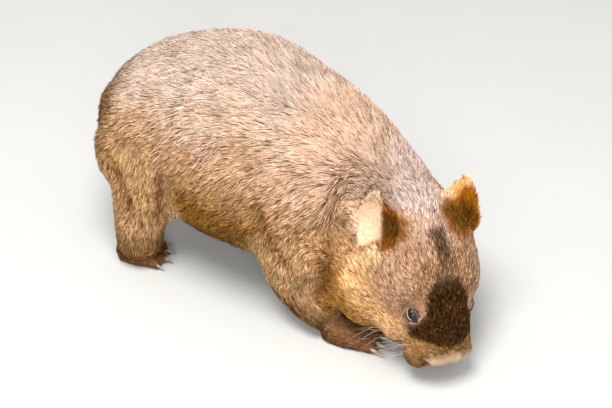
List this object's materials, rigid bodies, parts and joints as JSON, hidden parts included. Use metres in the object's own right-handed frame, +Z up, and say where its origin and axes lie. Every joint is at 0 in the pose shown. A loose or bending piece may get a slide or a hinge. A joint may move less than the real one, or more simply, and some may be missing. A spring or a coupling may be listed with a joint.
{
  "type": "wombat",
  "caption": "Common wombat as a life-size still model, standing on four feet with its head lowered to graze.",
  "frame": {"origin": "on the floor, under the middle of the animal's bounding box", "axes": "+Z up, -Y the way the animal faces, -X its right side"},
  "size_m": [0.3239, 0.7232, 0.3972],
  "materials": {
    "coat_side": "short coarse fur, pale ticking over brown",
    "coat_face": "short dense fur, dark down the bridge of the nose",
    "coat_leg": "short coarse fur, golden brown",
    "coat_foot": "very short dark fur over bare soles",
    "ear_fur": "pale short hair, thin in the cup",
    "nose_skin": "bare, finely grained, dull moist sheen",
    "eye_gloss": "wet gloss",
    "horn": "worn satin"
  },
  "bodies": {
    "root": {"trunk": "coat_side", "neck": "coat_side", "tail": "coat_side", "head": "coat_face", "nose": "nose_skin", "left_eye": "eye_gloss", "left_ear": "ear_fur", "left_hind_leg": "coat_leg", "left_hind_foot": "coat_foot", "left_foreleg": "coat_leg", "left_forefoot": "coat_foot", "left_hind_claw_1": "horn", "left_hind_claw_2": "horn", "left_hind_claw_3": "horn", "left_hind_claw_4": "horn", "left_fore_claw_1": "horn", "left_fore_claw_2": "horn", "left_fore_claw_3": "horn", "left_fore_claw_4": "horn", "left_fore_claw_5": "horn", "right_eye": "eye_gloss", "right_ear": "ear_fur", "right_hind_leg": "coat_leg", "right_hind_foot": "coat_foot", "right_foreleg": "coat_leg", "right_forefoot": "coat_foot", "right_hind_claw_1": "horn", "right_hind_claw_2": "horn", "right_hind_claw_3": "horn", "right_hind_claw_4": "horn", "right_fore_claw_1": "horn", "right_fore_claw_2": "horn", "right_fore_claw_3": "horn", "right_fore_claw_4": "horn", "right_fore_claw_5": "horn"}
  },
  "joints": []
}
